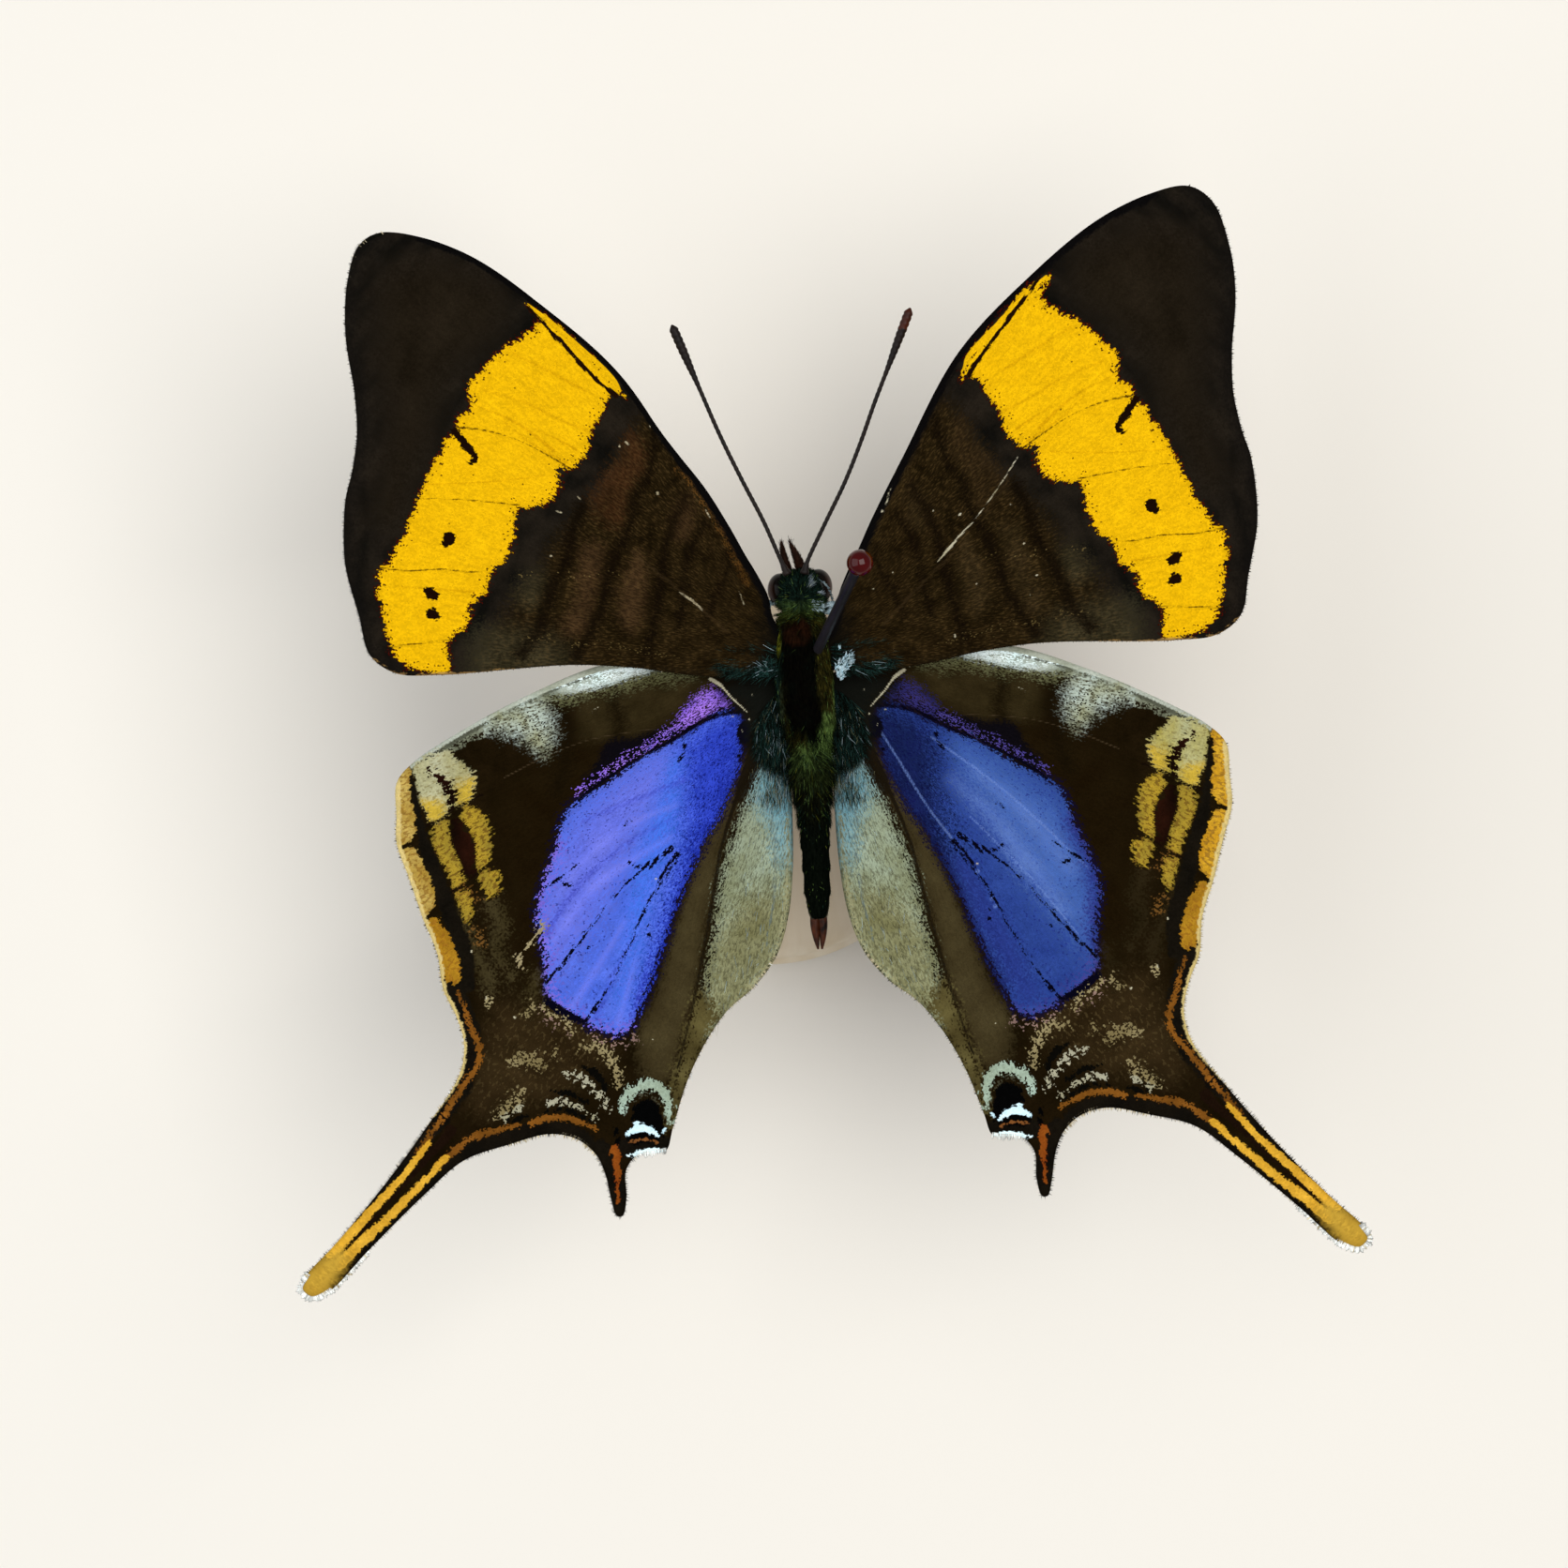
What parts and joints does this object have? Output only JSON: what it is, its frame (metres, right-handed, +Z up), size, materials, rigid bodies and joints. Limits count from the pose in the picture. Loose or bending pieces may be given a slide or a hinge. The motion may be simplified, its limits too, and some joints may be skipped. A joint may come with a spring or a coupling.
{
  "type": "pinned daggerwing butterfly",
  "caption": "Corinna daggerwing butterfly with spread, tailed wings, held in the air by a leaning insect pin that stands in a small round wooden base.",
  "frame": {"origin": "on the table under the base, below the middle of the wings' spread", "axes": "+X to the butterfly's right, +Y the way its head points, +Z up"},
  "size_m": [0.0572, 0.057, 0.0365],
  "materials": {
    "body_scales": "dark brown-black scales with short green-gold hair",
    "collar_hair": "yellow-green hair",
    "eye": "glossy dark red-brown",
    "palp": "brown scales",
    "proboscis": "satin brown",
    "antenna": "satin black with a brown tip",
    "claspers": "brown hair",
    "legs": "brown scales, paler underneath",
    "forewing_scales": "brown-black scales with a yellow-orange band",
    "hindwing_scales": "brown scales with a violet-blue patch and a yellow margin",
    "pin_enamel": "black enamel",
    "pin_bead": "glossy red",
    "stand_base": "pale satin wood"
  },
  "bodies": {
    "root": {"head": "body_scales", "eye_left": "eye", "eye_right": "eye", "palp_left": "palp", "palp_right": "palp", "proboscis": "proboscis", "antenna_left": "antenna", "antenna_right": "antenna", "prothorax": "collar_hair", "thorax": "body_scales", "abdomen": "body_scales", "claspers": "claspers", "forewing_left": "forewing_scales", "forewing_right": "forewing_scales", "hindwing_left": "hindwing_scales", "hindwing_right": "hindwing_scales", "foreleg_left": "legs", "foreleg_right": "legs", "midleg_left": "legs", "midleg_right": "legs", "hindleg_left": "legs", "hindleg_right": "legs", "pin_shaft": "pin_enamel", "pin_head": "pin_bead", "stand_base": "stand_base"}
  },
  "joints": []
}
